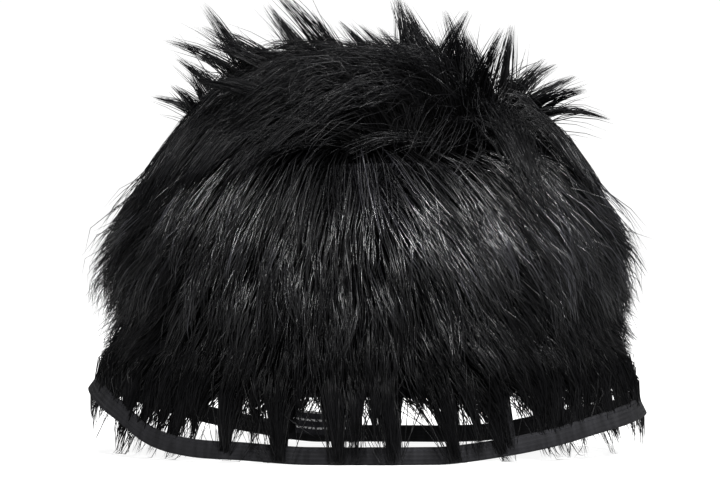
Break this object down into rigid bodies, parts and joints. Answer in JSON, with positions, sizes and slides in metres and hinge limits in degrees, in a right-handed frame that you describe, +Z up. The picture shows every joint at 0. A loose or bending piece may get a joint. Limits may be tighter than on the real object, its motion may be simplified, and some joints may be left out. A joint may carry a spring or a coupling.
{
  "type": "fur bucket hat",
  "caption": "Bucket hat of long-pile fur cloth with a domed top, an upright side and a sloping brim edged with tape, standing on its brim.",
  "frame": {"origin": "on the floor, under the middle of the hat's box", "axes": "+Z up through the crown of the hat, -Y to the front, +X across the width"},
  "size_m": [0.2977, 0.2864, 0.2441],
  "materials": {
    "backing_cloth": "matt black knitted backing of fur cloth",
    "fur_pile": "long black faux-fur pile with a soft silky sheen",
    "binding_tape": "black woven tape with a short velvety nap",
    "woven_label": "plain black woven label with light broken lines"
  },
  "bodies": {
    "root": {"crown_top": "backing_cloth", "crown_side": "backing_cloth", "brim": "backing_cloth", "crown_top_pile": "fur_pile", "crown_side_pile": "fur_pile", "brim_pile": "fur_pile", "edge_tape": "binding_tape", "back_label": "woven_label"}
  },
  "joints": []
}
